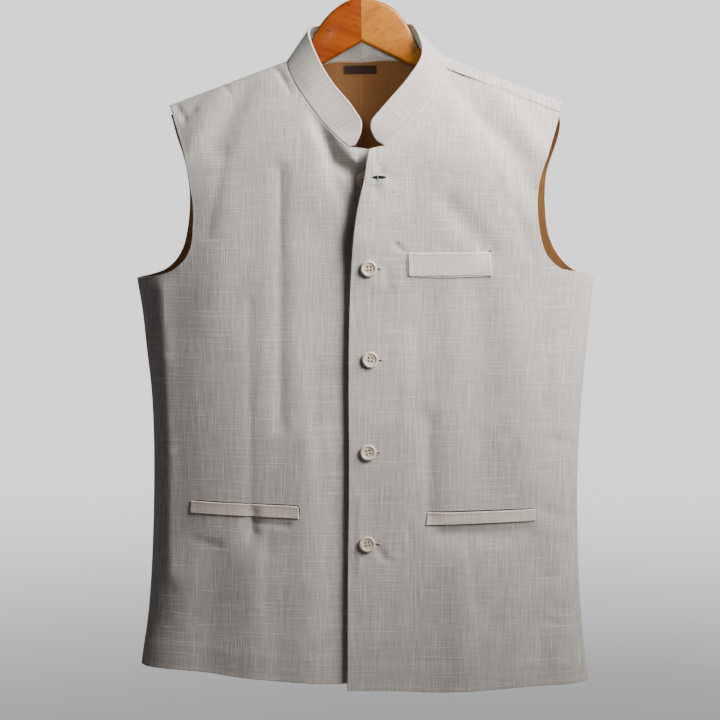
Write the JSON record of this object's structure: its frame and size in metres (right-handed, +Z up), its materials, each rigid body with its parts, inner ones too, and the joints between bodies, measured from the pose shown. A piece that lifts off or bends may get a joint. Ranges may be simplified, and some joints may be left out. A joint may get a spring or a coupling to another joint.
{
  "type": "waistcoat on a hanger",
  "caption": "Sleeveless band-collar waistcoat in slub linen, buttoned at the front with welt pockets, hanging flat on a wooden hanger with a wire hook.",
  "frame": {"origin": "where the rail touches the inner top of the hanger's hook", "axes": "+X to the wearer's left, -Y out of the garment's front, +Z up"},
  "size_m": [0.5135, 0.1183, 0.8456],
  "materials": {
    "linen": "matt slub weave",
    "welt_linen": "matt plain weave",
    "lining_satin": "soft satin",
    "label_cloth": "woven tape",
    "button_resin": "satin",
    "hanger_wood": "clear varnish",
    "hook_metal": "plated wire"
  },
  "bodies": {
    "root": {"front_left": "linen", "front_right": "linen", "back": "linen", "back_lining": "lining_satin", "collar": "linen", "chest_welt": "welt_linen", "pocket_welt_left": "welt_linen", "pocket_welt_right": "welt_linen", "label": "label_cloth", "button_1": "button_resin", "button_2": "button_resin", "button_3": "button_resin", "button_4": "button_resin", "button_5": "button_resin", "hanger_arm_left": "hanger_wood", "hanger_arm_right": "hanger_wood", "hanger_hook": "hook_metal"}
  },
  "joints": []
}
